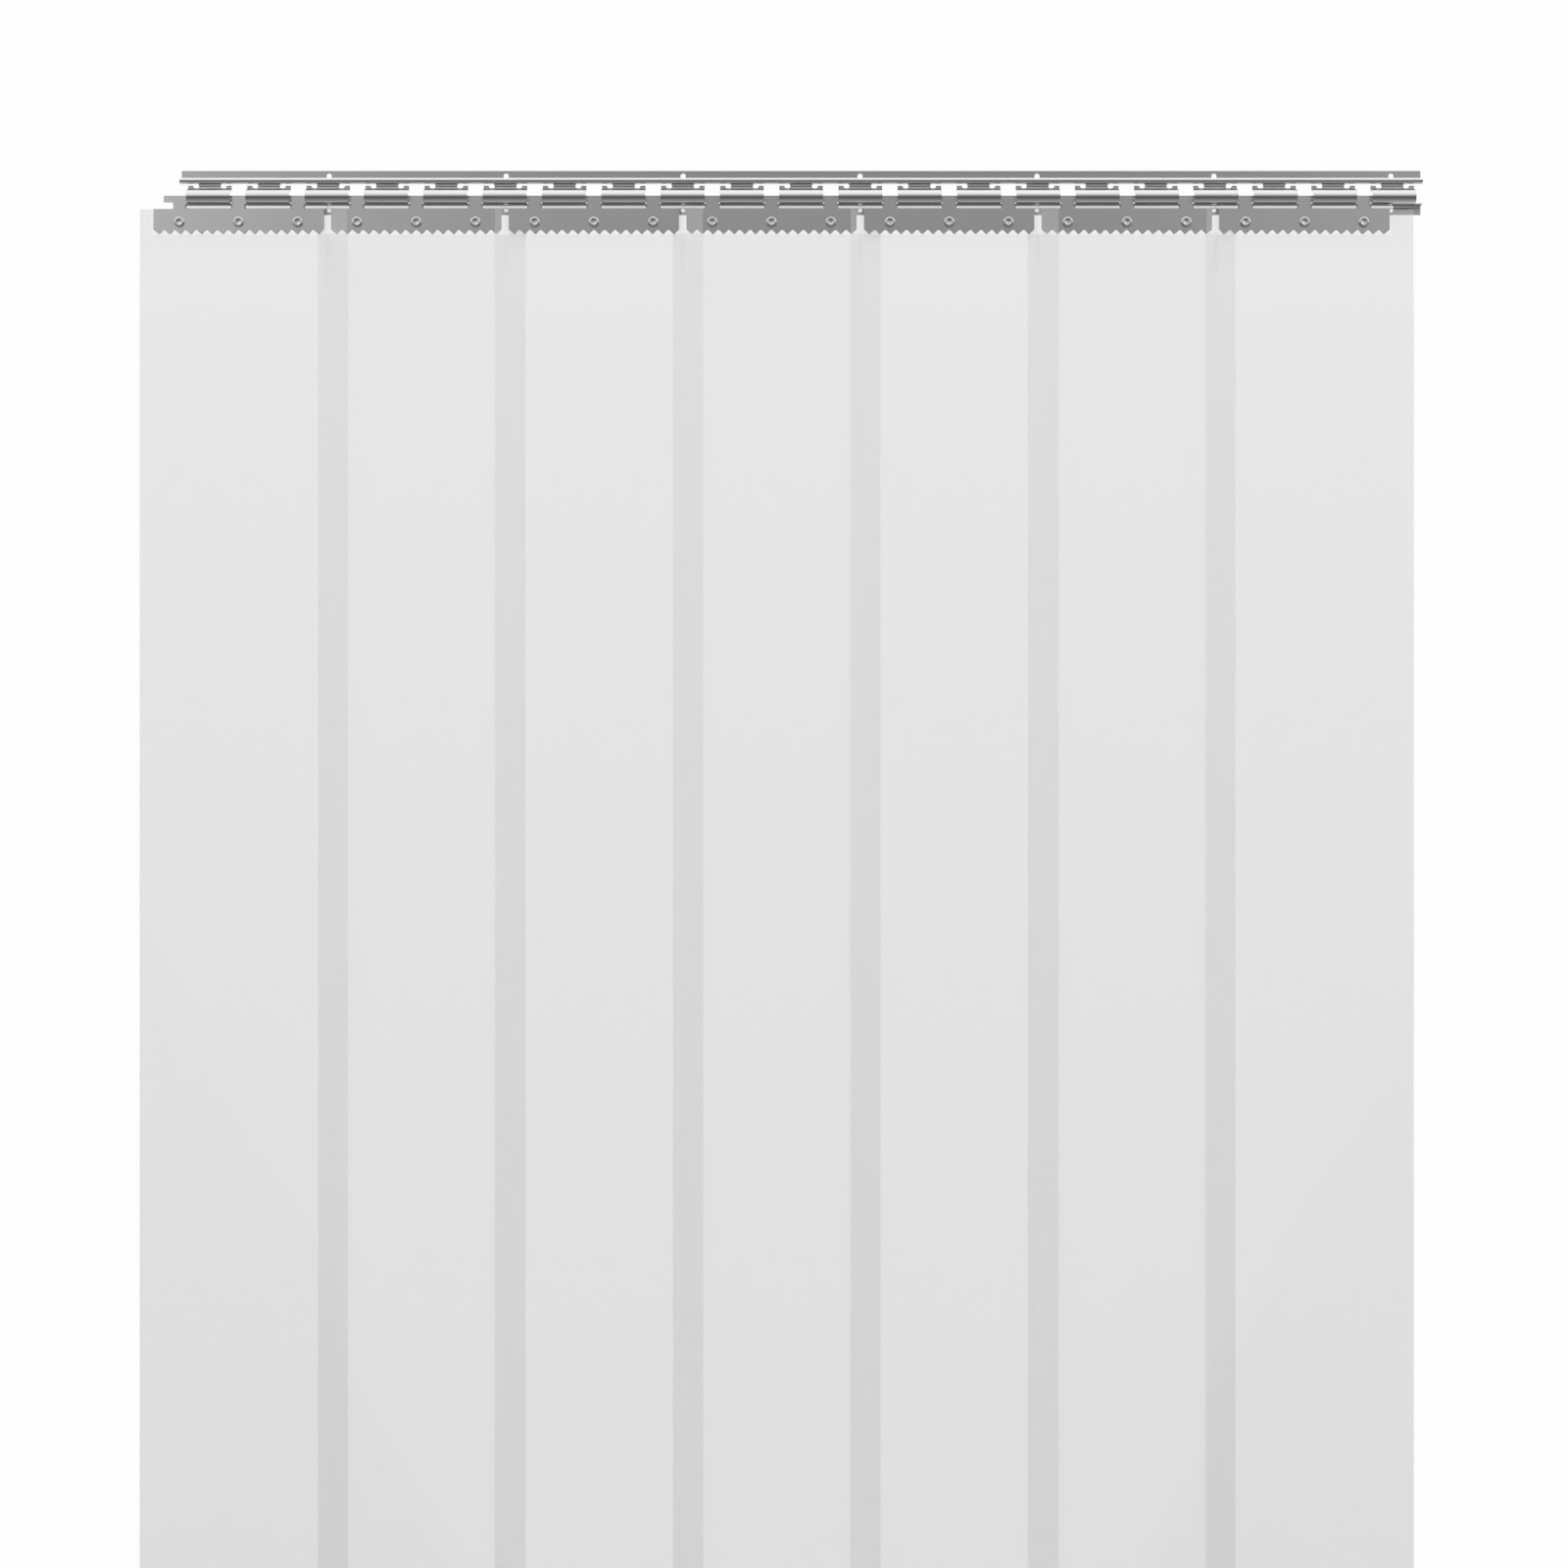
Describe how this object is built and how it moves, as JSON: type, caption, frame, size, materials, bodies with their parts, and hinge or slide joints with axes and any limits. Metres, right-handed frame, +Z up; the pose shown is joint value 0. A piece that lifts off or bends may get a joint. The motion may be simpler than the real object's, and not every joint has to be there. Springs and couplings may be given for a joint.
{
  "type": "pvc strip curtain",
  "caption": "Door curtain of overlapping translucent PVC strips, each riveted in serrated clamp plates whose T-tabs hook into a slotted stainless wall rail.",
  "frame": {"origin": "on the back face of the rail's upper flange, at the middle of the rail's length and on the line of the upper screw holes", "axes": "+Z up, -Y out of the wall towards the viewer, +X along the rail to the viewer's right"},
  "size_m": [1.235, 0.021, 2.0392],
  "materials": {
    "rail_steel": "brushed stainless, brushed along the rail",
    "plate_steel": "brushed stainless, brushed upright",
    "rivet_steel": "satin",
    "pvc": "smooth translucent soft PVC"
  },
  "bodies": {
    "rail": {"hanging_rail": "rail_steel"},
    "hanger_1": {"front_plate_1": "plate_steel", "back_plate_1": "plate_steel", "rivet_1_left": "rivet_steel", "rivet_1_middle": "rivet_steel", "rivet_1_right": "rivet_steel", "strip_head_1": "pvc"},
    "strip_1": {"strip_1": "pvc"},
    "hanger_2": {"front_plate_2": "plate_steel", "back_plate_2": "plate_steel", "rivet_2_left": "rivet_steel", "rivet_2_middle": "rivet_steel", "rivet_2_right": "rivet_steel", "strip_head_2": "pvc"},
    "strip_2": {"strip_2": "pvc"},
    "hanger_3": {"front_plate_3": "plate_steel", "back_plate_3": "plate_steel", "rivet_3_left": "rivet_steel", "rivet_3_middle": "rivet_steel", "rivet_3_right": "rivet_steel", "strip_head_3": "pvc"},
    "strip_3": {"strip_3": "pvc"},
    "hanger_4": {"front_plate_4": "plate_steel", "back_plate_4": "plate_steel", "rivet_4_left": "rivet_steel", "rivet_4_middle": "rivet_steel", "rivet_4_right": "rivet_steel", "strip_head_4": "pvc"},
    "strip_4": {"strip_4": "pvc"},
    "hanger_5": {"front_plate_5": "plate_steel", "back_plate_5": "plate_steel", "rivet_5_left": "rivet_steel", "rivet_5_middle": "rivet_steel", "rivet_5_right": "rivet_steel", "strip_head_5": "pvc"},
    "strip_5": {"strip_5": "pvc"},
    "hanger_6": {"front_plate_6": "plate_steel", "back_plate_6": "plate_steel", "rivet_6_left": "rivet_steel", "rivet_6_middle": "rivet_steel", "rivet_6_right": "rivet_steel", "strip_head_6": "pvc"},
    "strip_6": {"strip_6": "pvc"},
    "hanger_7": {"front_plate_7": "plate_steel", "back_plate_7": "plate_steel", "rivet_7_left": "rivet_steel", "rivet_7_middle": "rivet_steel", "rivet_7_right": "rivet_steel", "strip_head_7": "pvc"},
    "strip_7": {"strip_7": "pvc"}
  },
  "joints": [
    {"name": "hanger_1_swing", "type": "hinge", "parent": "rail", "child": "hanger_1", "pos_m": [-0.5415, -0.01395, -0.0276], "axis": [-1, 0, 0], "range_deg": [0, 30]},
    {"name": "strip_1_flex", "type": "hinge", "parent": "hanger_1", "child": "strip_1", "pos_m": [-0.5365, -0.01515, -0.1421], "axis": [-1, 0, 0], "range_deg": [0, 60]},
    {"name": "hanger_2_swing", "type": "hinge", "parent": "rail", "child": "hanger_2", "pos_m": [-0.3705, -0.01395, -0.0276], "axis": [1, 0, 0], "range_deg": [0, 20]},
    {"name": "strip_2_flex", "type": "hinge", "parent": "hanger_2", "child": "strip_2", "pos_m": [-0.3655, -0.00915, -0.1421], "axis": [1, 0, 0], "range_deg": [0, 60]},
    {"name": "hanger_3_swing", "type": "hinge", "parent": "rail", "child": "hanger_3", "pos_m": [-0.1995, -0.01395, -0.0276], "axis": [-1, 0, 0], "range_deg": [0, 30]},
    {"name": "strip_3_flex", "type": "hinge", "parent": "hanger_3", "child": "strip_3", "pos_m": [-0.1945, -0.01515, -0.1421], "axis": [-1, 0, 0], "range_deg": [0, 60]},
    {"name": "hanger_4_swing", "type": "hinge", "parent": "rail", "child": "hanger_4", "pos_m": [-0.0285, -0.01395, -0.0276], "axis": [1, 0, 0], "range_deg": [0, 20]},
    {"name": "strip_4_flex", "type": "hinge", "parent": "hanger_4", "child": "strip_4", "pos_m": [-0.0235, -0.00915, -0.1421], "axis": [1, 0, 0], "range_deg": [0, 60]},
    {"name": "hanger_5_swing", "type": "hinge", "parent": "rail", "child": "hanger_5", "pos_m": [0.1425, -0.01395, -0.0276], "axis": [-1, 0, 0], "range_deg": [0, 30]},
    {"name": "strip_5_flex", "type": "hinge", "parent": "hanger_5", "child": "strip_5", "pos_m": [0.1475, -0.01515, -0.1421], "axis": [-1, 0, 0], "range_deg": [0, 60]},
    {"name": "hanger_6_swing", "type": "hinge", "parent": "rail", "child": "hanger_6", "pos_m": [0.3135, -0.01395, -0.0276], "axis": [1, 0, 0], "range_deg": [0, 20]},
    {"name": "strip_6_flex", "type": "hinge", "parent": "hanger_6", "child": "strip_6", "pos_m": [0.3185, -0.00915, -0.1421], "axis": [1, 0, 0], "range_deg": [0, 60]},
    {"name": "hanger_7_swing", "type": "hinge", "parent": "rail", "child": "hanger_7", "pos_m": [0.4845, -0.01395, -0.0276], "axis": [-1, 0, 0], "range_deg": [0, 30]},
    {"name": "strip_7_flex", "type": "hinge", "parent": "hanger_7", "child": "strip_7", "pos_m": [0.4895, -0.01515, -0.1421], "axis": [-1, 0, 0], "range_deg": [0, 60]}
  ]
}
